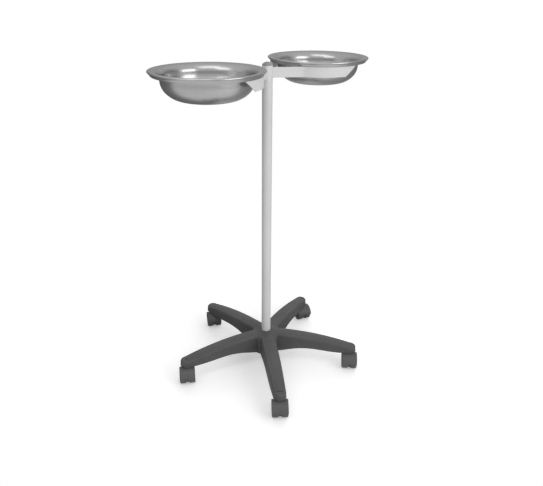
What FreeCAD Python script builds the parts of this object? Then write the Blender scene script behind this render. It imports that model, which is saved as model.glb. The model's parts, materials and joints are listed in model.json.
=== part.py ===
import FreeCAD, Part
import math
import os

# Double basin stand on a five-star base with castors.
# Millimetres. Origin on the column's axis at floor level, +Z up,
# +X from the column towards the centre of the right basin.

# Overall heights
RIM_Z = 980.0
TUBE_TOP_BELOW_RIM = 8.0
TUBE_BOTTOM_Z = 52.0

# Column tube and its end plug
TUBE_D = 30.0
TUBE_WALL = 1.5
PLUG_BRIM = 2.0
PLUG_DOME = 7.5
PLUG_SPIGOT = 22.0
PLUG_RIB = 2.0
PLUG_RIB_COUNT = 3
PLUG_RIB_DEPTH = 1.6
PLUG_CLEARANCE = 0.1

# Basins: spun sheet with a sloping flange, a lip turned down and in, and a hem
BASIN_REACH = 211.0
BASIN_RIM_R = 150.0
BASIN_DEPTH = 74.5
BASIN_SHEET = 1.0
CORNER_R = 63.0
CORNER_TURN = 46.7
BASIN_FLANGE_W = 30.5
BASIN_WALL_W = 58.0
BASIN_FLANGE_DROP = 10.0
BASIN_LIP_H = 13.0
LIP_LEAN = 7.0
LIP_ROUND = 3.0
HEM_ROUND = 2.0
NECK_ROUND = 1.2
NECK_RISE = 3.6
NECK_RUN = 4.8
BASIN_HEM = 7.0

# Cradle arms: flat bar on edge, welded to the column
BAR_T = 3.0
BAR_H = 28.0
BAR_ANGLE = 36.0
BAR_BEND_R = 25.0
BAR_END_ANGLE = 90.0
BAR_END_SLANT = 37.0
SEAT_GAP = 0.3

# Five-star base
LEG_COUNT = 5
LEG_FIRST_AZIMUTH = 18.0
STAR_R = 286.0
HUB_TOP_Z = 108.0
HUB_R = 50.0
HUB_EDGE_DROP = 5.0
HUB_SIDE_DROP = 15.0
HUB_BOTTOM_Z = 38.0
HUB_FLOOR = 8.0
SOCKET_WALL = 7.0
SOCKET_CLEARANCE = 0.15
POCKET_R = 16.0
LEG_START = 20.0
LEG_ROOT_TOP_Z = 106.5
LEG_TIP_TOP_Z = 78.0
LEG_TOP_CURVE = 2.4
LEG_TIP_UNDER_Z = 55.5
LEG_ARCH_MIDDLE = 150.0
LEG_ARCH_HALF = 95.0
LEG_ARCH_RISE = 6.5
LEG_ROOT_REACH = 140.0
LEG_ROOT_DROP = 30.0
LEG_ROOT_HALF = 26.5
LEG_TIP_HALF = 20.5
LEG_TAPER_CURVE = 2.5
LEG_DRAFT = 4.0
LEG_SHOULDER_H = 6.5
LEG_SHOULDER_W = 8.0
LEG_CROWN = 2.0
LEG_STATIONS = 8
LEG_WALL = 3.5
LEG_HOLLOW_START = 34.0
RIB_T = 3.0
RIB_FIRST = 28.0
RIB_PITCH = 46.0
RIB_COUNT = 5

# Castors: 50 mm twin wheels on a grip-ring stem
WHEEL_D = 50.0
WHEEL_W = 19.5
WHEEL_GAP = 0.75
WHEEL_EDGE = 3.0
WHEEL_DISH_R = 18.0
WHEEL_DISH = 4.0
WHEEL_BOSS_R = 8.0
WHEEL_BOSS_SET_BACK = 1.0
WEB_T = 8.5
WEB_R = 22.0
WEB_SET_BACK = 22.0
CASTOR_TRAIL = 17.0
AXLE_D = 8.0
RUNNING = 0.05
FENDER_CLEARANCE = 1.2
FENDER_T = 2.5
FENDER_FROM = 5.0
FENDER_TO = 195.0
BOSS_R = 10.0
BOSS_FLOOR = 3.0
BOSS_TOP_GAP = 1.0
STEM_D = 11.0
STEM_IN_LEG = 16.0
STEM_IN_BOSS = 20.0
STEM_COLLAR_R = 9.0
STEM_CHAMFER = 1.0
STEM_SOCKET_CLEARANCE = 0.25
PIVOT_D = 7.0
SPOT_FACE = 2.0
RING_H = 3.0
RING_GROOVE = 1.2
RING_SLOT = 1.5
RING_BELOW_TOP = 4.0
# Swivel of each castor as it stands, one for each leg: where the wheels trail
CASTOR_HEADINGS = [-112.0, -122.0, -126.0, -132.0, -139.0]

# Fixing of the column from below
INSERT_H = 26.0
BOLT_D = 10.0
BOLT_HOLE_CLEARANCE = 0.5
BOLT_HEAD_H = 6.4
BOLT_HEAD_AF = 17.0
BOLT_IN_INSERT = 20.0
WASHER_R = 13.0
WASHER_T = 2.0

# Worked out from the values above
TUBE_R = TUBE_D / 2
TUBE_INNER_R = TUBE_R - TUBE_WALL
TUBE_TOP_Z = RIM_Z - TUBE_TOP_BELOW_RIM
BAR_TOP_Z = RIM_Z - BASIN_LIP_H - SEAT_GAP
CRADLE_R = BASIN_RIM_R - LIP_LEAN - HEM_ROUND
BASIN_NECK_R = BASIN_RIM_R - BASIN_FLANGE_W
BASIN_BASE_R = BASIN_NECK_R - BASIN_WALL_W
FLOOR_UNDER_Z = TUBE_BOTTOM_Z - HUB_FLOOR
WHEEL_R = WHEEL_D / 2
WHEEL_MID = WEB_T / 2 + WHEEL_GAP + WHEEL_W / 2
AXLE_R = AXLE_D / 2
CASTOR_W = 2 * (WHEEL_MID + WHEEL_W / 2)
BOSS_TOP_Z = LEG_TIP_UNDER_Z - BOSS_TOP_GAP
STEM_R = STEM_D / 2
STEM_TOP_Z = LEG_TIP_UNDER_Z + STEM_IN_LEG
PIVOT_R = PIVOT_D / 2
PIVOT_FOOT_Z = BOSS_TOP_Z - STEM_IN_BOSS
RING_LOW_Z = STEM_TOP_Z - RING_BELOW_TOP - RING_H

X_AXIS = FreeCAD.Vector(1, 0, 0)
Y_AXIS = FreeCAD.Vector(0, 1, 0)
Z_AXIS = FreeCAD.Vector(0, 0, 1)
ORIGIN = FreeCAD.Vector(0, 0, 0)


def vec(x, y, z=0.0):
    return FreeCAD.Vector(x, y, z)


def line(a, b):
    return Part.LineSegment(a, b).toShape()


def arc(a, middle, b):
    return Part.Arc(a, middle, b).toShape()


def polar(centre, radius, angle, z=0.0):
    """Point at an angle in degrees round a centre in plan."""
    a = math.radians(angle)
    return vec(centre.x + radius * math.cos(a), centre.y + radius * math.sin(a), z)


def arc_round(centre, radius, start, end, z=0.0):
    """Arc in plan from one angle to another, in degrees."""
    middle = (start + end) / 2
    ends = [polar(centre, radius, angle, z) for angle in (start, middle, end)]
    return arc(*ends)


def cylinder(radius, low, high, x=0.0, y=0.0):
    return Part.makeCylinder(radius, high - low, vec(x, y, low), Z_AXIS)


def polygon_face(points):
    return Part.Face(Part.makePolygon(points + [points[0]]))


def turned(profile, axis_point=ORIGIN, axis=Z_AXIS):
    """Solid of revolution from a list of (radius, height) points or a face."""
    if isinstance(profile, list):
        profile = polygon_face([vec(r, 0, z) for r, z in profile])
    return profile.revolve(axis_point, axis, 360)


def save(shape, node):
    shape.exportStep("parts/%s.step" % node)


# Column

def column_tube():
    outer = cylinder(TUBE_R, TUBE_BOTTOM_Z, TUBE_TOP_Z)
    return outer.cut(cylinder(TUBE_INNER_R, TUBE_BOTTOM_Z, TUBE_TOP_Z))


def column_plug():
    """Domed cap on a ribbed spigot that grips inside the tube."""
    grip_r = TUBE_INNER_R - PLUG_CLEARANCE
    core_r = grip_r - PLUG_RIB_DEPTH
    brim_z = TUBE_TOP_Z + PLUG_BRIM
    pitch = PLUG_SPIGOT / PLUG_RIB_COUNT
    side = [(core_r, TUBE_TOP_Z - PLUG_SPIGOT)]
    for k in range(PLUG_RIB_COUNT):
        low = TUBE_TOP_Z - PLUG_SPIGOT + (k + 0.5) * pitch
        side += [(core_r, low), (grip_r, low + PLUG_RIB / 2), (core_r, low + PLUG_RIB)]
    side += [(core_r, TUBE_TOP_Z), (TUBE_R, TUBE_TOP_Z), (TUBE_R, brim_z)]
    points = [vec(r, 0, z) for r, z in side]
    crown = vec(0, 0, brim_z + PLUG_DOME)
    dome_r = (TUBE_R ** 2 + PLUG_DOME ** 2) / (2 * PLUG_DOME)
    half_way = math.asin(TUBE_R / dome_r) / 2
    shoulder = crown + vec(dome_r * math.sin(half_way), 0, dome_r * (math.cos(half_way) - 1))
    foot = vec(0, 0, TUBE_TOP_Z - PLUG_SPIGOT)
    edges = [line(a, b) for a, b in zip([foot] + points[:-1], points)]
    edges += [arc(points[-1], shoulder, crown), line(crown, foot)]
    return turned(Part.Face(Part.Wire(edges)))


def column_insert():
    """Threaded slug welded in the foot of the tube."""
    slug = cylinder(TUBE_INNER_R, TUBE_BOTTOM_Z, TUBE_BOTTOM_Z + INSERT_H)
    return slug.cut(cylinder(BOLT_D / 2, TUBE_BOTTOM_Z, TUBE_BOTTOM_Z + INSERT_H))


def base_washer():
    low = FLOOR_UNDER_Z - WASHER_T
    ring = cylinder(WASHER_R, low, FLOOR_UNDER_Z)
    return ring.cut(cylinder(BOLT_D / 2 + BOLT_HOLE_CLEARANCE, low, FLOOR_UNDER_Z))


def base_bolt():
    """Hexagon bolt that pulls the tube down into the hub."""
    head_top = FLOOR_UNDER_Z - WASHER_T
    corner_r = BOLT_HEAD_AF / math.sqrt(3)
    low = head_top - BOLT_HEAD_H
    corners = [polar(ORIGIN, corner_r, 60 * k, low) for k in range(6)]
    head = polygon_face(corners).extrude(vec(0, 0, BOLT_HEAD_H))
    return head.fuse(cylinder(BOLT_D / 2, head_top, TUBE_BOTTOM_Z + BOLT_IN_INSERT))


# Cradle arms

def arm_plan():
    """Plan outline of one arm: straight from the column, a bend, then round
    the basin. The bend's circle touches the straight and the cradle circle."""
    turn = math.radians(BAR_ANGLE)
    along = vec(math.cos(turn), -math.sin(turn))
    right = vec(-math.sin(turn), -math.cos(turn))
    basin = vec(BASIN_REACH, 0)
    offset = BASIN_REACH * math.sin(turn)
    reach = CRADLE_R ** 2 + 2 * CRADLE_R * BAR_BEND_R - offset ** 2 - 2 * BAR_BEND_R * offset
    straight = BASIN_REACH * math.cos(turn) - math.sqrt(reach)
    bend = along * straight + right * BAR_BEND_R
    to_bend = bend - basin
    start = math.degrees(math.atan2(to_bend.y, to_bend.x)) % 360
    leave = math.degrees(math.atan2(-right.y, -right.x))
    meet = start - 180
    end = 180 + BAR_END_ANGLE
    half = BAR_T / 2
    inner = [
        line(right * -half, along * straight - right * half),
        arc_round(bend, BAR_BEND_R + half, leave, meet),
        arc_round(basin, CRADLE_R - half, start, end),
    ]
    tip = line(polar(basin, CRADLE_R - half, end), polar(basin, CRADLE_R + half, end))
    outer = [
        arc_round(basin, CRADLE_R + half, end, start),
        arc_round(bend, BAR_BEND_R - half, meet, leave),
        line(along * straight + right * half, right * half),
    ]
    root = line(right * half, right * -half)
    return Part.Face(Part.Wire(inner + [tip] + outer + [root]))


def cradle_arm():
    """Arm on the -Y side of the right basin, its end cut on a slant."""
    low = BAR_TOP_Z - BAR_H
    plan = arm_plan()
    plan.translate(vec(0, 0, low))
    bar = plan.extrude(vec(0, 0, BAR_H))
    bar = bar.cut(cylinder(TUBE_R, low, BAR_TOP_Z))
    corner = [vec(0, 0, low), vec(-BAR_END_SLANT, 0, low), vec(0, 0, BAR_TOP_Z)]
    wedge = polygon_face([p + vec(0, -BAR_H, 0) for p in corner]).extrude(vec(0, 2 * BAR_H, 0))
    wedge.rotate(ORIGIN, Z_AXIS, 270 + BAR_END_ANGLE)
    tip = polar(vec(BASIN_REACH, 0), CRADLE_R, 180 + BAR_END_ANGLE)
    wedge.translate(tip)
    return bar.cut(wedge)


def export_arms():
    front = cradle_arm()
    rear = front.mirror(ORIGIN, Y_AXIS)
    for side, turn in (("right", 0), ("left", 180)):
        for name, arm in (("front", front), ("rear", rear)):
            placed = arm.copy()
            placed.rotate(ORIGIN, Z_AXIS, turn)
            place = name if turn == 0 else {"front": "rear", "rear": "front"}[name]
            save(placed, "%s_cradle_%s_arm" % (side, place))


# Basins

def tangent_arc(start, direction, end):
    """Arc in the XZ plane that leaves start along a direction and meets end."""
    chord = end - start
    normal = vec(-direction.z, 0, direction.x)
    radius = chord.dot(chord) / (2 * normal.dot(chord))
    centre = start + normal * radius
    outwards = (start + end) * 0.5 - centre
    return arc(start, centre + outwards.normalize() * abs(radius), end)


def basin_profile():
    """Upper face of the sheet, from the centre of the base to the hem."""
    base_z = RIM_Z - BASIN_DEPTH + BASIN_SHEET
    neck_z = RIM_Z - BASIN_FLANGE_DROP
    hem_z = RIM_Z - BASIN_LIP_H
    turn = math.radians(CORNER_TURN)
    along = vec(math.cos(turn), 0, math.sin(turn))
    base = vec(BASIN_BASE_R, 0, base_z)
    corner = base + vec(CORNER_R * math.sin(turn), 0, CORNER_R * (1 - math.cos(turn)))
    wall_top = vec(BASIN_NECK_R - NECK_ROUND, 0, neck_z - NECK_RISE)
    neck = vec(BASIN_NECK_R, 0, neck_z - NECK_ROUND)
    flange = vec(BASIN_NECK_R + NECK_RUN, 0, neck_z)
    crest = vec(BASIN_RIM_R - LIP_ROUND, 0, RIM_Z)
    lip = vec(BASIN_RIM_R, 0, RIM_Z - LIP_ROUND)
    foot_r = BASIN_RIM_R - LIP_LEAN
    lip_foot = vec(foot_r, 0, hem_z + HEM_ROUND)
    hem = vec(foot_r - HEM_ROUND, 0, hem_z)
    bulge = math.sqrt(0.5)
    return Part.Wire([
        line(vec(0, 0, base_z), base),
        tangent_arc(base, X_AXIS, corner),
        tangent_arc(corner, along, wall_top),
        arc(wall_top, neck, flange),
        line(flange, crest),
        arc(crest, crest + vec(bulge * LIP_ROUND, 0, (bulge - 1) * LIP_ROUND), lip),
        line(lip, lip_foot),
        arc(lip_foot, hem + vec(bulge * HEM_ROUND, 0, (1 - bulge) * HEM_ROUND), hem),
        line(hem, hem - vec(BASIN_HEM, 0, 0)),
    ])


def basin(x):
    sheet = turned(basin_profile().makeOffset2D(-BASIN_SHEET, 0, True, True))
    sheet.translate(vec(x, 0, 0))
    return sheet


# Star base

def leg_width(s):
    """Half of a leg's width at its underside, at a distance from the column."""
    return LEG_ROOT_HALF - (LEG_ROOT_HALF - LEG_TIP_HALF) * (s / STAR_R) ** LEG_TAPER_CURVE


def leg_top(s):
    return LEG_ROOT_TOP_Z - (LEG_ROOT_TOP_Z - LEG_TIP_TOP_Z) * (s / STAR_R) ** LEG_TOP_CURVE


def leg_under(s):
    """Underside of a leg: up from the hub, over a low arch, level at the tip."""
    from_middle = min(1.0, abs(s - LEG_ARCH_MIDDLE) / LEG_ARCH_HALF)
    arch = LEG_ARCH_RISE * (1 - from_middle ** 2) ** 2
    root = LEG_ROOT_DROP * max(0.0, 1 - s / LEG_ROOT_REACH) ** 2
    return max(HUB_BOTTOM_Z, LEG_TIP_UNDER_Z + arch - root)


def shoulder(half, top):
    """Three points of the rounded edge from a side (y = half) to the crown."""
    diagonal = math.sqrt(0.5)
    rise = LEG_SHOULDER_H - LEG_CROWN
    low = top - LEG_SHOULDER_H
    return [
        (half, low),
        (half - LEG_SHOULDER_W * (1 - diagonal), low + rise * diagonal),
        (half - LEG_SHOULDER_W, top - LEG_CROWN),
    ]


def leg_section(s):
    """Outer section of a leg: flat below, drafted sides, rounded shoulders."""
    half = leg_width(s)
    top = leg_top(s)
    under = leg_under(s)
    upper = half - LEG_DRAFT * (top - under) / (LEG_ROOT_TOP_Z - HUB_BOTTOM_Z)
    right = [vec(s, y, z) for y, z in [(half, under)] + shoulder(upper, top)]
    left = [vec(s, -p.y, p.z) for p in right]
    return Part.Wire([
        line(left[0], right[0]),
        line(right[0], right[1]),
        arc(*right[1:]),
        arc(right[3], vec(s, 0, top), left[3]),
        arc(left[3], left[2], left[1]),
        line(left[1], left[0]),
    ])


def stations(first, last, count):
    return [first + (last - first) * k / (count - 1) for k in range(count)]


def leg_hollow():
    """Space inside a leg, open below."""
    last = STAR_R - LEG_TIP_HALF + LEG_WALL
    wires = []
    for s in stations(LEG_HOLLOW_START, last, LEG_STATIONS):
        half = leg_width(s) - LEG_WALL
        upper = half - LEG_DRAFT
        low = leg_under(s) - LEG_WALL
        high = leg_top(s) - LEG_WALL - LEG_CROWN
        side = high - LEG_SHOULDER_H
        points = [vec(s, half, low), vec(s, upper, side), vec(s, upper - LEG_SHOULDER_W, high)]
        points += [vec(p.x, -p.y, p.z) for p in reversed(points)]
        wires.append(Part.makePolygon(points + [points[0]]))
    return Part.makeLoft(wires, True, True)


def leg_ribs():
    """Long middle rib and cross ribs that stiffen a leg from below."""
    length = STAR_R - LEG_HOLLOW_START
    ribs = Part.makeBox(length, RIB_T, HUB_TOP_Z, vec(LEG_HOLLOW_START, -RIB_T / 2, 0))
    for k in range(RIB_COUNT):
        s = LEG_HOLLOW_START + RIB_FIRST + k * RIB_PITCH
        box = Part.makeBox(RIB_T, 2 * LEG_ROOT_HALF, HUB_TOP_Z, vec(s, -LEG_ROOT_HALF, 0))
        ribs = ribs.fuse(box)
    return ribs


def leg_end():
    """Round boss over the castor's stem."""
    tallest = LEG_ROOT_TOP_Z - HUB_BOTTOM_Z
    upper = LEG_TIP_HALF - LEG_DRAFT * (LEG_TIP_TOP_Z - LEG_TIP_UNDER_Z) / tallest
    edge = [vec(r, 0, z) for r, z in shoulder(upper, LEG_TIP_TOP_Z)]
    rim = vec(LEG_TIP_HALF, 0, LEG_TIP_UNDER_Z)
    foot = vec(0, 0, LEG_TIP_UNDER_Z)
    crown = vec(0, 0, edge[2].z)
    boss = turned(Part.Face(Part.Wire([
        line(foot, rim),
        line(rim, edge[0]),
        arc(*edge),
        line(edge[2], crown),
        line(crown, foot),
    ])))
    boss.translate(vec(STAR_R, 0, 0))
    return boss


def star_leg():
    """One leg with its rounded castor end, hollow and ribbed underneath."""
    wires = [leg_section(s) for s in stations(LEG_START, STAR_R, LEG_STATIONS)]
    leg = Part.makeLoft(wires, True, False)
    return leg.cut(leg_hollow().cut(leg_ribs())).fuse(leg_end())


def hub():
    """Solid middle of the star, its top edge sloping into the valleys."""
    return turned([
        (0, HUB_BOTTOM_Z),
        (HUB_R, HUB_BOTTOM_Z),
        (HUB_R, HUB_TOP_Z - HUB_SIDE_DROP),
        (HUB_R - HUB_EDGE_DROP, HUB_TOP_Z - HUB_EDGE_DROP),
        (TUBE_R + SOCKET_WALL, HUB_TOP_Z),
        (0, HUB_TOP_Z),
    ])


def leg_azimuth(k):
    return LEG_FIRST_AZIMUTH + 360.0 * k / LEG_COUNT


def star_base():
    leg = star_leg()
    star = hub()
    for k in range(LEG_COUNT):
        placed = leg.copy()
        placed.rotate(ORIGIN, Z_AXIS, leg_azimuth(k))
        star = star.fuse(placed)
    star = star.cut(cylinder(TUBE_R + SOCKET_CLEARANCE, TUBE_BOTTOM_Z, HUB_TOP_Z))
    star = star.cut(cylinder(BOLT_D / 2 + BOLT_HOLE_CLEARANCE, 0, HUB_TOP_Z))
    star = star.cut(cylinder(POCKET_R, 0, FLOOR_UNDER_Z))
    for k in range(LEG_COUNT):
        p = polar(ORIGIN, STAR_R, leg_azimuth(k))
        star = star.cut(cylinder(STEM_R + STEM_SOCKET_CLEARANCE, 0, STEM_TOP_Z, p.x, p.y))
        star = star.cut(cylinder(STEM_COLLAR_R + SPOT_FACE, 0, LEG_TIP_UNDER_Z, p.x, p.y))
    return star


# Castors, built with the stem on the origin and the wheels trailing along +X

def castor_stem():
    """Turned steel stem: collar, grip-ring groove and the pivot below."""
    groove_r = STEM_R - RING_GROOVE
    return turned([
        (0, PIVOT_FOOT_Z),
        (PIVOT_R, PIVOT_FOOT_Z),
        (PIVOT_R, BOSS_TOP_Z),
        (STEM_COLLAR_R, BOSS_TOP_Z),
        (STEM_COLLAR_R, LEG_TIP_UNDER_Z),
        (STEM_R, LEG_TIP_UNDER_Z),
        (STEM_R, RING_LOW_Z),
        (groove_r, RING_LOW_Z),
        (groove_r, RING_LOW_Z + RING_H),
        (STEM_R, RING_LOW_Z + RING_H),
        (STEM_R, STEM_TOP_Z - STEM_CHAMFER),
        (STEM_R - STEM_CHAMFER, STEM_TOP_Z),
        (0, STEM_TOP_Z),
    ])


def grip_ring():
    """Split spring ring in the stem's groove, held in the leg's socket."""
    high = RING_LOW_Z + RING_H
    ring = cylinder(STEM_R + STEM_SOCKET_CLEARANCE, RING_LOW_Z, high)
    ring = ring.cut(cylinder(STEM_R - RING_GROOVE, RING_LOW_Z, high))
    slot = Part.makeBox(STEM_D, RING_SLOT, RING_H, vec(0, -RING_SLOT / 2, RING_LOW_Z))
    return ring.cut(slot)


def on_wheel(radius, angle, y=0.0):
    """Point round the axle in a castor's side view, 0 degrees trailing."""
    a = math.radians(angle)
    return vec(CASTOR_TRAIL + radius * math.cos(a), y, WHEEL_R + radius * math.sin(a))


def side_arc(radius, start, end, y):
    middle = (start + end) / 2
    return arc(*[on_wheel(radius, angle, y) for angle in (start, middle, end)])


def axle_cylinder(radius, low, high):
    return Part.makeCylinder(radius, high - low, vec(CASTOR_TRAIL, low, WHEEL_R), Y_AXIS)


def fender(inner_r, outer_r):
    """Curved cover over both wheels."""
    y = -CASTOR_W / 2
    band = Part.Face(Part.Wire([
        side_arc(outer_r, FENDER_FROM, FENDER_TO, y),
        line(on_wheel(outer_r, FENDER_TO, y), on_wheel(inner_r, FENDER_TO, y)),
        side_arc(inner_r, FENDER_TO, FENDER_FROM, y),
        line(on_wheel(inner_r, FENDER_FROM, y), on_wheel(outer_r, FENDER_FROM, y)),
    ]))
    return band.extrude(vec(0, CASTOR_W, 0))


def fender_web(radius):
    """Plate from the axle up to the fender, between the wheels."""
    y = -WEB_T / 2
    start = FENDER_FROM + WEB_SET_BACK
    end = FENDER_TO - WEB_SET_BACK
    centre = on_wheel(0, 0, y)
    plate = Part.Face(Part.Wire([
        line(centre, on_wheel(radius, start, y)),
        side_arc(radius, start, end, y),
        line(on_wheel(radius, end, y), centre),
    ]))
    return plate.extrude(vec(0, WEB_T, 0)).fuse(axle_cylinder(WEB_R, y, -y))


def castor_hood():
    """Web between the wheels, boss round the pivot and the fender over both."""
    inner_r = WHEEL_R + FENDER_CLEARANCE
    outer_r = inner_r + FENDER_T
    side = WEB_T / 2
    boss = cylinder(BOSS_R, PIVOT_FOOT_Z - BOSS_FLOOR, BOSS_TOP_Z)
    boss = boss.cut(axle_cylinder(inner_r, side, CASTOR_W))
    boss = boss.cut(axle_cylinder(inner_r, -CASTOR_W, -side))
    hood = fender(inner_r, outer_r).fuse([fender_web(inner_r + FENDER_T / 2), boss])
    hood = hood.cut(cylinder(PIVOT_R + RUNNING, PIVOT_FOOT_Z, BOSS_TOP_Z))
    return hood.cut(axle_cylinder(AXLE_R, -side, side))


def castor_axle():
    reach = WHEEL_MID + WHEEL_W / 2 - WHEEL_DISH
    return axle_cylinder(AXLE_R, -reach, reach)


def castor_wheel():
    """Wheel on the +Y side, dished on its outer face round a boss."""
    inner = WEB_T / 2 + WHEEL_GAP
    outer = inner + WHEEL_W
    floor = outer - WHEEL_DISH
    boss_face = outer - WHEEL_BOSS_SET_BACK
    bore = AXLE_R + RUNNING
    profile = [
        (bore, inner),
        (WHEEL_R - WHEEL_EDGE / 2, inner),
        (WHEEL_R, inner + WHEEL_EDGE / 2),
        (WHEEL_R, outer - WHEEL_EDGE),
        (WHEEL_R - WHEEL_EDGE / 3, outer - WHEEL_EDGE / 3),
        (WHEEL_R - WHEEL_EDGE, outer),
        (WHEEL_DISH_R, outer),
        (WHEEL_DISH_R - WHEEL_DISH / 2, floor),
        (WHEEL_BOSS_R, floor),
        (WHEEL_BOSS_R, boss_face),
        (bore, boss_face),
    ]
    face = polygon_face([on_wheel(r, 0, y) for r, y in profile])
    return turned(face, on_wheel(0, 0), Y_AXIS)


def export_castors():
    wheel = castor_wheel()
    pieces = {
        "stem": castor_stem(),
        "grip_ring": grip_ring(),
        "hood": castor_hood(),
        "axle": castor_axle(),
        "left_wheel": wheel,
        "right_wheel": wheel.mirror(ORIGIN, Y_AXIS),
    }
    for k in range(LEG_COUNT):
        heading = CASTOR_HEADINGS[k % len(CASTOR_HEADINGS)]
        for name, piece in pieces.items():
            placed = piece.copy()
            placed.rotate(ORIGIN, Z_AXIS, heading)
            placed.translate(polar(ORIGIN, STAR_R, leg_azimuth(k)))
            save(placed, "castor_%d_%s" % (k + 1, name))


os.makedirs("parts", exist_ok=True)
save(column_tube(), "column_tube")
save(column_plug(), "column_plug")
save(column_insert(), "column_insert")
save(base_washer(), "base_washer")
save(base_bolt(), "base_bolt")
save(star_base(), "star_base")
export_arms()
export_castors()
save(basin(BASIN_REACH), "right_basin")
save(basin(-BASIN_REACH), "left_basin")
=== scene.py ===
import json
import math

import bmesh
import bpy
from mathutils import Matrix, Vector


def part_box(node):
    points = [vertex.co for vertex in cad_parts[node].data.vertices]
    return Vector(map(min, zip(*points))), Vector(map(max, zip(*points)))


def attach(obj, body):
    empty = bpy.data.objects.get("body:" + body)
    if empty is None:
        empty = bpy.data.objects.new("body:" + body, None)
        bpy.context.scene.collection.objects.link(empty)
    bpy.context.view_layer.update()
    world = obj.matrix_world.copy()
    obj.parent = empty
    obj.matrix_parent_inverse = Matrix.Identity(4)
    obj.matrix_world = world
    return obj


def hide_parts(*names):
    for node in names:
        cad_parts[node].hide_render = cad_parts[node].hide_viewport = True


# Double basin stand: spun steel basins in a painted frame on a moulded star.
# Metres, in the frame of the model: +Z up, +X towards the right basin.

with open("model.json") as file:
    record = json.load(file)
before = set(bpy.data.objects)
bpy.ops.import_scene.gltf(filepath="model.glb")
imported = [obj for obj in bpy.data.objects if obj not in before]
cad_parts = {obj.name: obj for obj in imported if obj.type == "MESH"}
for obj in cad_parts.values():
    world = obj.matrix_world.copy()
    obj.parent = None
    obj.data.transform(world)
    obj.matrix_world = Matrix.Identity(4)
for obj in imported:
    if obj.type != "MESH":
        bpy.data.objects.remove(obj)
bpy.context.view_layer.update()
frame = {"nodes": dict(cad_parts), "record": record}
scene = bpy.context.scene
nodes = frame["nodes"]

# Photograph
PHOTO_WIDTH = 543
SENSOR = 36.0
FOCAL_PIXELS = 555.7

# Camera, solved from the outlines in the photograph
VIEW_HEADING = 45.04
VIEW_PITCH = 25.22
VIEW_ROLL = 0.548
VIEW_BACK = 1.5917
VIEW_ASIDE = 0.0159
VIEW_HEIGHT = 1.181

# Sizes shared with the solids
BASIN_REACH = 0.211
TUBE_R = 0.015
BAR_HALF = 0.0015
ARM_HEADING = 36
RIM_Z = 0.98
RIM_R = 0.15
BASIN_DEPTH = 0.0745
SHEET = 0.001
BASE_R = 0.0615
CORNER_R = 0.063
CORNER_TURN = 46.7
WALL_R = 0.0443
LIP_H = 0.013
LIP_LEAN = 0.007
LIP_ROUND = 0.003
HEM_ROUND = 0.002
HEM = 0.007

# Roll of the basins' flange, softer than the solids', and how finely it is turned
FLANGE_TILT = 7
ROLL_R = 0.021
LATHE_STEPS = 160
CORNER_STEPS = 14
WALL_STEPS = 16
ROLL_STEPS = 24
LIP_STEPS = 8
HEM_STEPS = 6
MERGE_DISTANCE = 1e-6
SHARP_ANGLE = 40

# Weld beads
WELD_R = 0.0021
WELD_END = 0.0008
WELD_ROWS = 48
WELD_RIPPLE = 3.2
WELD_RIPPLE_SHARE = 0.13
WELD_TAPER = 0.35
WELD_TAPER_ROWS = 3
WELD_OFF_TUBE = 0.0002
WELD_OFF_BAR = 0.0003
WELD_SIDES = 12

# Studio: levels of light, 1 is white, and headings in degrees round from +X
ROOM_LIGHT = 0.8
ROOM_IN_METAL = 0.64
SHADE_SIDE = 135
SHADE_SPREAD = (-0.6, 0.8)
SHADE_LOSS = 0.6
# Heading, height, outer and inner cosine, and the light that is added there
BACK_GLOW = (45, 20, 0.75, 1.0, 1.2)
# Heading, height, inner and outer angle, and the light that is lost there
DARK_FLANKS = ((100, -15, 20, 55, 0.36), (335, 6, 12, 42, 0.36))
# Name, heading, height, height that it aims at, size and radiance
LAMPS = (
    ("key", 276, 15, 0.9, (1.4, 1.2), 2.4),
    ("side", 184, 36, 0.9, (1.2, 1.1), 1.1),
    ("top", 218, 58, 0.9, (1.5, 1.2), 1.1),
)
LAMP_DISTANCE = 2.3

# Floor: FLOOR_FADE is where its shadow fades out, in metres from the column
FLOOR_SIZE = 60.0
FLOOR_WHITE = 0.9
FLOOR_TONE = 0.85
FLOOR_LIFT = 0.33
FLOOR_FADE = (0.4, 1.0)
# Heading, outer and inner cosine, and the tone that is lost there, as painted shade on the paper
# that rays other than the camera's see
FLOOR_PAINTED_SHADE = ((100, 0.62, 0.9, 0.56), (345, 0.7, 0.93, 0.42))


def add(obj):
    scene.collection.objects.link(obj)
    return obj


def make_camera():
    """Camera at the photograph's viewpoint: back, aside and up from the column."""
    turn = math.radians(VIEW_HEADING)
    pitch = math.radians(VIEW_PITCH)
    roll = math.radians(VIEW_ROLL)
    level = Vector((math.sin(turn), math.cos(turn), 0))
    right = Vector((math.cos(turn), -math.sin(turn), 0))
    ahead = level * math.cos(pitch) - Vector((0, 0, math.sin(pitch)))
    up = right.cross(ahead)
    rolled_right = right * math.cos(roll) + up * math.sin(roll)
    rolled_up = up * math.cos(roll) - right * math.sin(roll)
    data = bpy.data.cameras.new("camera")
    data.sensor_width = SENSOR
    data.sensor_fit = "HORIZONTAL"
    data.lens = FOCAL_PIXELS * SENSOR / PHOTO_WIDTH
    camera = add(bpy.data.objects.new("camera", data))
    place = right * VIEW_ASIDE - level * VIEW_BACK + Vector((0, 0, VIEW_HEIGHT))
    axes = Matrix((rolled_right, rolled_up, -ahead)).transposed()
    camera.matrix_world = Matrix.Translation(place) @ axes.to_4x4()
    scene.camera = camera


# Light

def toward(heading, height):
    """Direction from the stand, degrees round from +X and up from level."""
    a = math.radians(heading)
    b = math.radians(height)
    return Vector((math.cos(a) * math.cos(b), math.sin(a) * math.cos(b), math.sin(b)))


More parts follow.
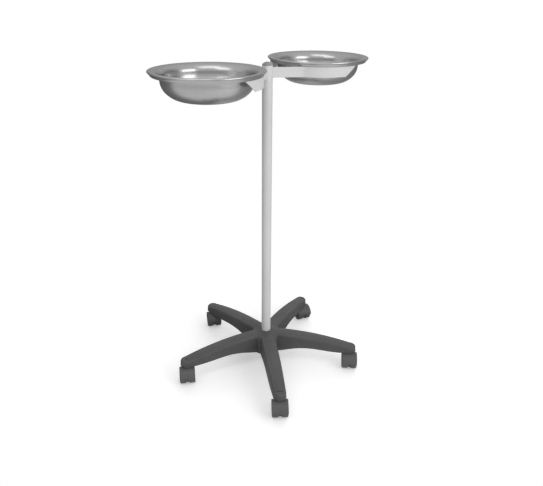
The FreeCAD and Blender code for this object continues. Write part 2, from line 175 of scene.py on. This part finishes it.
class Nodes:
    """Short way to place and join the nodes of a material or a world."""

    def __init__(self, owner):
        owner.use_nodes = True
        self.tree = owner.node_tree

    def node(self, kind, **settings):
        made = self.tree.nodes.new("ShaderNode" + kind)
        for key, value in settings.items():
            setattr(made, key, value)
        return made

    def link(self, source, target):
        self.tree.links.new(source, target)

    def math(self, operation, *values):
        made = self.node("Math", operation=operation)
        for socket, value in zip(made.inputs, values):
            self.put(value, socket)
        return made.outputs[0]

    def put(self, value, socket):
        """Links a source, or sets a number."""
        if isinstance(value, bpy.types.NodeSocket):
            self.link(value, socket)
        else:
            socket.default_value = value

    def spread(self, source, low, high, to_low=0.0, to_high=1.0):
        """Smooth step of a number from one range to another."""
        made = self.node("MapRange", interpolation_type="SMOOTHSTEP")
        for socket, value in zip(made.inputs, (source, low, high, to_low, to_high)):
            self.put(value, socket)
        return made.outputs[0]

    def mixed(self, factor, first, second):
        """Mix of two shaders."""
        made = self.node("MixShader")
        self.put(factor, made.inputs[0])
        self.link(first, made.inputs[1])
        self.link(second, made.inputs[2])
        return made.outputs[0]

    def glow(self, kind, strength):
        """White background or emission of a strength."""
        made = self.node(kind)
        made.inputs["Color"].default_value = (1, 1, 1, 1)
        self.put(strength, made.inputs["Strength"])
        return made.outputs[0]

    def along(self, source, heading, height):
        """Cosine between a direction and a heading."""
        made = self.node("VectorMath", operation="DOT_PRODUCT")
        self.link(source, made.inputs[0])
        made.inputs[1].default_value = toward(heading, height)
        return made.outputs["Value"]

    def seen_directly(self):
        """1 for a ray that the camera sees, straight or through a clear thing."""
        path = self.node("LightPath")
        straight = path.outputs["Is Camera Ray"]
        return self.math("MAXIMUM", straight, path.outputs["Is Transmission Ray"])


def make_world():
    """Pale room, plain white to the camera.

    Metal sees it darker at two flanks behind the stand. Other surfaces get less
    light from one side and more from behind.
    """
    world = bpy.data.worlds.new("studio")
    n = Nodes(world)
    n.tree.nodes.clear()
    place = n.node("TexCoord").outputs["Generated"]
    in_metal = ROOM_IN_METAL
    for heading, height, inner, outer, loss in DARK_FLANKS:
        low = math.cos(math.radians(outer))
        high = math.cos(math.radians(inner))
        dark = n.spread(n.along(place, heading, height), low, high, 0.0, loss)
        in_metal = n.math("SUBTRACT", in_metal, dark)
    side = n.along(place, SHADE_SIDE, 0)
    shaded = n.spread(side, *SHADE_SPREAD, ROOM_LIGHT, ROOM_LIGHT * (1 - SHADE_LOSS))
    heading, height, outer, inner, glow = BACK_GLOW
    behind = n.spread(n.along(place, heading, height), outer, inner, 0.0, glow)
    light = n.math("ADD", shaded, behind)
    level = n.node("Mix")
    n.link(n.node("LightPath").outputs["Is Glossy Ray"], level.inputs[0])
    n.link(light, level.inputs[2])
    n.link(in_metal, level.inputs[3])
    room = n.glow("Background", level.outputs[0])
    white = n.glow("Background", 1.0)
    out = n.node("OutputWorld")
    n.link(n.mixed(n.seen_directly(), room, white), out.inputs["Surface"])
    scene.world = world


def make_lamp(name, heading, height, target, size, glow):
    """Soft box of a radiance, at a direction from the stand."""
    data = bpy.data.lights.new(name, "AREA")
    data.shape = "RECTANGLE"
    data.size, data.size_y = size
    data.energy = glow * math.pi * size[0] * size[1]
    lamp = add(bpy.data.objects.new(name, data))
    aim = Vector((0, 0, target))
    away = toward(heading, height)
    lamp.location = aim + away * LAMP_DISTANCE
    lamp.rotation_euler = away.to_track_quat("Z", "Y").to_euler()
    lamp.visible_camera = False


def make_floor():
    """White paper that keeps the shadow near the stand and fades to plain white.

    The camera sees the lifted paper; other rays see a greyer one, with painted shade at two sides.
    """
    mesh = bpy.data.meshes.new("floor")
    side = FLOOR_SIZE
    corners = [(-side, -side, 0), (side, -side, 0), (side, side, 0), (-side, side, 0)]
    mesh.from_pydata(corners, [], [(0, 1, 2, 3)])
    floor = add(bpy.data.objects.new("floor", mesh))
    material = bpy.data.materials.new("floor")
    n = Nodes(material)
    n.tree.nodes.clear()
    place = n.node("NewGeometry")
    length = n.node("VectorMath", operation="LENGTH")
    n.link(place.outputs["Position"], length.inputs[0])
    paper = n.node("BsdfDiffuse")
    seen = n.node("BsdfDiffuse")
    seen.inputs["Color"].default_value = (FLOOR_WHITE, FLOOR_WHITE, FLOOR_WHITE, 1)
    aim = n.node("VectorMath", operation="NORMALIZE")
    n.link(place.outputs["Position"], aim.inputs[0])
    tone = FLOOR_TONE
    # Painted shade: the paper's tone darkens towards two headings, for rays other than the camera's
    for heading, outer, inner, loss in FLOOR_PAINTED_SHADE:
        dark = n.spread(n.along(aim.outputs[0], heading, 0), outer, inner, 0.0, loss)
        tone = n.math("SUBTRACT", tone, dark)
    n.link(tone, paper.inputs["Color"])
    lifted = n.node("AddShader")
    n.link(seen.outputs[0], lifted.inputs[0])
    n.link(n.glow("Emission", FLOOR_LIFT), lifted.inputs[1])
    white = n.glow("Emission", 1.0)
    near = n.mixed(n.spread(length.outputs["Value"], *FLOOR_FADE), lifted.outputs[0], white)
    out = n.node("OutputMaterial")
    n.link(n.mixed(n.seen_directly(), paper.outputs[0], near), out.inputs["Surface"])
    mesh.materials.append(material)


# Materials

class Surface(Nodes):
    """A procedural material round one principled shader."""

    def __init__(self, name, color, roughness, metallic=0.0):
        self.material = bpy.data.materials.new(name)
        super().__init__(self.material)
        self.shader = self.tree.nodes["Principled BSDF"]
        self.shader.inputs["Base Color"].default_value = (*color, 1)
        self.shader.inputs["Roughness"].default_value = roughness
        self.shader.inputs["Metallic"].default_value = metallic

    def noise(self, scale, detail=3.0):
        place = self.node("TexCoord")
        texture = self.node("TexNoise")
        texture.inputs["Scale"].default_value = scale
        texture.inputs["Detail"].default_value = detail
        self.link(place.outputs["Object"], texture.inputs["Vector"])
        return texture.outputs["Fac"]

    def from_basin_axis(self):
        """Place in plan from the nearer basin's axis, and the distance."""
        place = self.node("TexCoord")
        apart = self.node("SeparateXYZ")
        self.link(place.outputs["Object"], apart.inputs[0])
        side = self.math("SIGN", apart.outputs["X"])
        across = self.math("SUBTRACT", apart.outputs["X"], self.math("MULTIPLY", side, BASIN_REACH))
        along = apart.outputs["Y"]
        squares = [self.math("MULTIPLY", value, value) for value in (across, along)]
        return across, along, self.math("SQRT", self.math("ADD", *squares))

    def ramp(self, source, low, high, socket):
        """Spreads a 0 to 1 source between two numbers or two colours."""
        made = self.node("ValToRGB")
        for element, value in zip(made.color_ramp.elements, (low, high)):
            shade = value if isinstance(value, tuple) else (value,) * 3
            element.color = (*shade, 1)
        made.color_ramp.elements[0].position = 0.3
        made.color_ramp.elements[1].position = 0.7
        self.link(source, made.inputs["Fac"])
        self.link(made.outputs["Color"], self.shader.inputs[socket])

    def bump(self, source, distance, strength=0.5, normal=None):
        made = self.node("Bump")
        made.inputs["Distance"].default_value = distance
        made.inputs["Strength"].default_value = strength
        self.link(source, made.inputs["Height"])
        if normal:
            self.link(normal, made.inputs["Normal"])
        self.link(made.outputs["Normal"], self.shader.inputs["Normal"])


def grey(value):
    return (value, value, value)


def basin_steel():
    """Spun satin steel: brushed round each basin's axis, with faint tool rings."""
    surface = Surface("basin_steel", grey(0.55), 0.28, 1.0)
    across, along, radius = surface.from_basin_axis()
    round_axis = surface.node("CombineXYZ")
    surface.link(surface.math("MULTIPLY", along, -1.0), round_axis.inputs["X"])
    surface.link(across, round_axis.inputs["Y"])
    turned = surface.node("VectorTransform", vector_type="VECTOR", convert_from="OBJECT",
                          convert_to="WORLD")
    surface.link(round_axis.outputs[0], turned.inputs[0])
    surface.link(turned.outputs[0], surface.shader.inputs["Tangent"])
    surface.shader.inputs["Anisotropic"].default_value = 0.5
    surface.shader.inputs["Anisotropic Rotation"].default_value = 0.25
    rings = surface.node("TexNoise", noise_dimensions="1D")
    surface.link(surface.math("MULTIPLY", radius, 220.0), rings.inputs["W"])
    rings.inputs["Scale"].default_value = 1.0
    surface.ramp(rings.outputs["Fac"], 0.25, 0.31, "Roughness")
    surface.ramp(surface.noise(5.0, 2.0), grey(0.53), grey(0.58), "Base Color")
    surface.shader.inputs["Specular Tint"].default_value = (0.6, 0.6, 0.6, 1)
    return surface.material


def frame_paint():
    """Light grey powder coat: faint orange peel, and softened edges."""
    surface = Surface("frame_paint", grey(0.7), 0.38)
    surface.ramp(surface.noise(5.0), grey(0.66), grey(0.72), "Base Color")
    surface.ramp(surface.noise(30.0), 0.34, 0.44, "Roughness")
    edge = surface.node("Bevel", samples=4)
    edge.inputs["Radius"].default_value = 0.0007
    surface.bump(surface.noise(500.0, 2.0), 0.0001, 0.1, edge.outputs[0])
    return surface.material


def plug_plastic():
    surface = Surface("plug_plastic", grey(0.28), 0.5)
    surface.ramp(surface.noise(60.0), grey(0.26), grey(0.31), "Base Color")
    surface.bump(surface.noise(700.0, 2.0), 0.0001, 0.2)
    return surface.material


def base_nylon():
    """Moulded glass-filled nylon, eroded to a fine matt grain."""
    surface = Surface("base_nylon", grey(0.085), 0.58)
    surface.ramp(surface.noise(12.0), grey(0.078), grey(0.092), "Base Color")
    surface.ramp(surface.noise(40.0), 0.52, 0.64, "Roughness")
    surface.bump(surface.noise(900.0, 2.0), 0.0001, 0.2)
    return surface.material


def castor_plastic():
    surface = Surface("castor_plastic", grey(0.1), 0.5)
    surface.ramp(surface.noise(20.0), grey(0.092), grey(0.11), "Base Color")
    surface.ramp(surface.noise(50.0), 0.45, 0.58, "Roughness")
    surface.bump(surface.noise(900.0, 2.0), 0.0001, 0.15)
    return surface.material


def wheel_nylon():
    """Tread nylon, a little paler and rougher in patches that vary at random."""
    surface = Surface("wheel_nylon", grey(0.11), 0.6)
    surface.ramp(surface.noise(25.0), grey(0.095), grey(0.135), "Base Color")
    surface.ramp(surface.noise(60.0), 0.52, 0.7, "Roughness")
    surface.bump(surface.noise(700.0, 3.0), 0.0001, 0.3)
    return surface.material


def hardware_steel():
    surface = Surface("hardware_steel", grey(0.6), 0.3, 1.0)
    surface.ramp(surface.noise(40.0), 0.25, 0.4, "Roughness")
    return surface.material


def dress_nodes():
    makers = (basin_steel, frame_paint, plug_plastic, base_nylon, castor_plastic, wheel_nylon,
              hardware_steel)
    finishes = {maker.__name__: maker() for maker in makers}
    for part in frame["record"]["subparts"]:
        obj = nodes[part["node"]]
        obj.data.materials.clear()
        obj.data.materials.append(finishes[part["material_slot"]])


# Pieces that stay out of the solids, or stand for them

def arc_points(centre, radius, start, end, steps):
    """Points round an arc, angles in degrees, both ends included."""
    angles = [math.radians(start + (end - start) * k / steps) for k in range(steps + 1)]
    return [centre + radius * Vector((math.cos(a), math.sin(a))) for a in angles]


def roll_centre(crest, wall_centre):
    """Centre of the arc that touches the flange's slope and the wall's arc."""
    tilt = math.radians(FLANGE_TILT)
    inward = Vector((-math.cos(tilt), -math.sin(tilt)))
    up = Vector((-math.sin(tilt), math.cos(tilt)))
    away = crest - up * ROLL_R - wall_centre
    along = away.dot(inward)
    slope = -along - math.sqrt(along ** 2 - away.length_squared + (WALL_R + ROLL_R) ** 2)
    return crest + inward * slope - up * ROLL_R


def basin_profile():
    """Upper face of the sheet as radius and height, from the middle to the hem."""
    base_z = RIM_Z - BASIN_DEPTH + SHEET
    corner = arc_points(Vector((BASE_R, base_z + CORNER_R)), CORNER_R, -90, CORNER_TURN - 90,
                        CORNER_STEPS)
    turn = math.radians(CORNER_TURN)
    wall_centre = corner[-1] + WALL_R * Vector((-math.sin(turn), math.cos(turn)))
    crest = Vector((RIM_R - LIP_ROUND, RIM_Z))
    roll = roll_centre(crest, wall_centre)
    across = roll - wall_centre
    meet = math.degrees(math.atan2(across.y, across.x))
    foot = Vector((RIM_R - LIP_LEAN - HEM_ROUND, RIM_Z - LIP_H + HEM_ROUND))
    return [
        Vector((0, base_z)),
        *corner,
        *arc_points(wall_centre, WALL_R, CORNER_TURN - 90, meet, WALL_STEPS)[1:],
        *arc_points(roll, ROLL_R, meet + 180, 90 + FLANGE_TILT, ROLL_STEPS)[1:],
        *arc_points(crest - Vector((0, LIP_ROUND)), LIP_ROUND, 90, 0, LIP_STEPS),
        *arc_points(foot, HEM_ROUND, 0, -90, HEM_STEPS),
        foot + Vector((-HEM, -HEM_ROUND)),
    ]


def under_face(profile):
    """Other face of the sheet, point by point."""
    under = []
    for k, point in enumerate(profile):
        ahead = profile[min(k + 1, len(profile) - 1)] - profile[max(k - 1, 0)]
        ahead.normalize()
        under.append(point + SHEET * Vector((ahead.y, -ahead.x)))
    under[0].x = 0
    return under


def spun_basins():
    """The basins, turned with the soft roll that the photograph shows."""
    profile = basin_profile()
    outline = profile + under_face(profile)[::-1]
    for name, x in (("right_basin", BASIN_REACH), ("left_basin", -BASIN_REACH)):
        bm = bmesh.new()
        points = [bm.verts.new((x + point.x, 0, point.y)) for point in outline]
        edges = [bm.edges.new(pair) for pair in zip(points, points[1:])]
        bmesh.ops.spin(bm, geom=points + edges, cent=(x, 0, 0), axis=(0, 0, 1),
                       angle=2 * math.pi, steps=LATHE_STEPS)
        bmesh.ops.remove_doubles(bm, verts=bm.verts, dist=MERGE_DISTANCE)
        bmesh.ops.recalc_face_normals(bm, faces=bm.faces)
        mesh = bpy.data.meshes.new(name + "_spun")
        bm.to_mesh(mesh)
        bm.free()
        mesh.shade_smooth()
        mesh.set_sharp_from_angle(angle=math.radians(SHARP_ANGLE))
        mesh.materials.append(nodes[name].data.materials[0])
        spun = add(bpy.data.objects.new(name + "_spun", mesh))
        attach(spun, name)
        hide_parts(name)


def weld_beads():
    """Fillet weld down each side of each arm where it meets the column."""
    low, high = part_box("right_cradle_front_arm")
    finish = nodes["right_cradle_front_arm"].data.materials[0]
    rows = WELD_ROWS
    headings = (-ARM_HEADING, ARM_HEADING, 180 - ARM_HEADING, 180 + ARM_HEADING)
    for number, heading in enumerate(headings):
        a = math.radians(heading)
        out = Vector((math.cos(a), math.sin(a), 0))
        aside = Vector((-math.sin(a), math.cos(a), 0))
        for side, name in ((1, "a"), (-1, "b")):
            bm = bmesh.new()
            rings = []
            for k in range(rows + 1):
                z = low[2] + WELD_END + (high[2] - low[2] - 2 * WELD_END) * k / rows
                from_end = min(k, rows - k) / WELD_TAPER_ROWS
                taper = min(1.0, WELD_TAPER + (1 - WELD_TAPER) * from_end)
                wave = abs(math.sin(math.pi * k / WELD_RIPPLE + number))
                ripple = 1 + WELD_RIPPLE_SHARE * wave
                radius = WELD_R * taper * ripple
                middle = out * (TUBE_R + WELD_OFF_TUBE) + aside * side * (BAR_HALF + WELD_OFF_BAR)
                ring = []
                for j in range(WELD_SIDES):
                    t = 2 * math.pi * j / WELD_SIDES
                    offset = out * radius * math.cos(t) + aside * radius * math.sin(t)
                    ring.append(bm.verts.new(middle + offset + Vector((0, 0, z))))
                rings.append(ring)
            for lower, upper in zip(rings, rings[1:]):
                for j in range(WELD_SIDES):
                    i = (j + 1) % WELD_SIDES
                    bm.faces.new((lower[j], lower[i], upper[i], upper[j]))
            bm.faces.new(list(reversed(rings[0])))
            bm.faces.new(rings[-1])
            mesh = bpy.data.meshes.new("weld")
            bm.to_mesh(mesh)
            bm.free()
            for face in mesh.polygons:
                face.use_smooth = True
            mesh.materials.append(finish)
            bead = add(bpy.data.objects.new("weld_%d%s" % (number + 1, name), mesh))
            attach(bead, "root")


make_camera()
make_world()
make_floor()
for lamp in LAMPS:
    make_lamp(*lamp)
dress_nodes()
spun_basins()
weld_beads()
scene.view_settings.view_transform = "Standard"
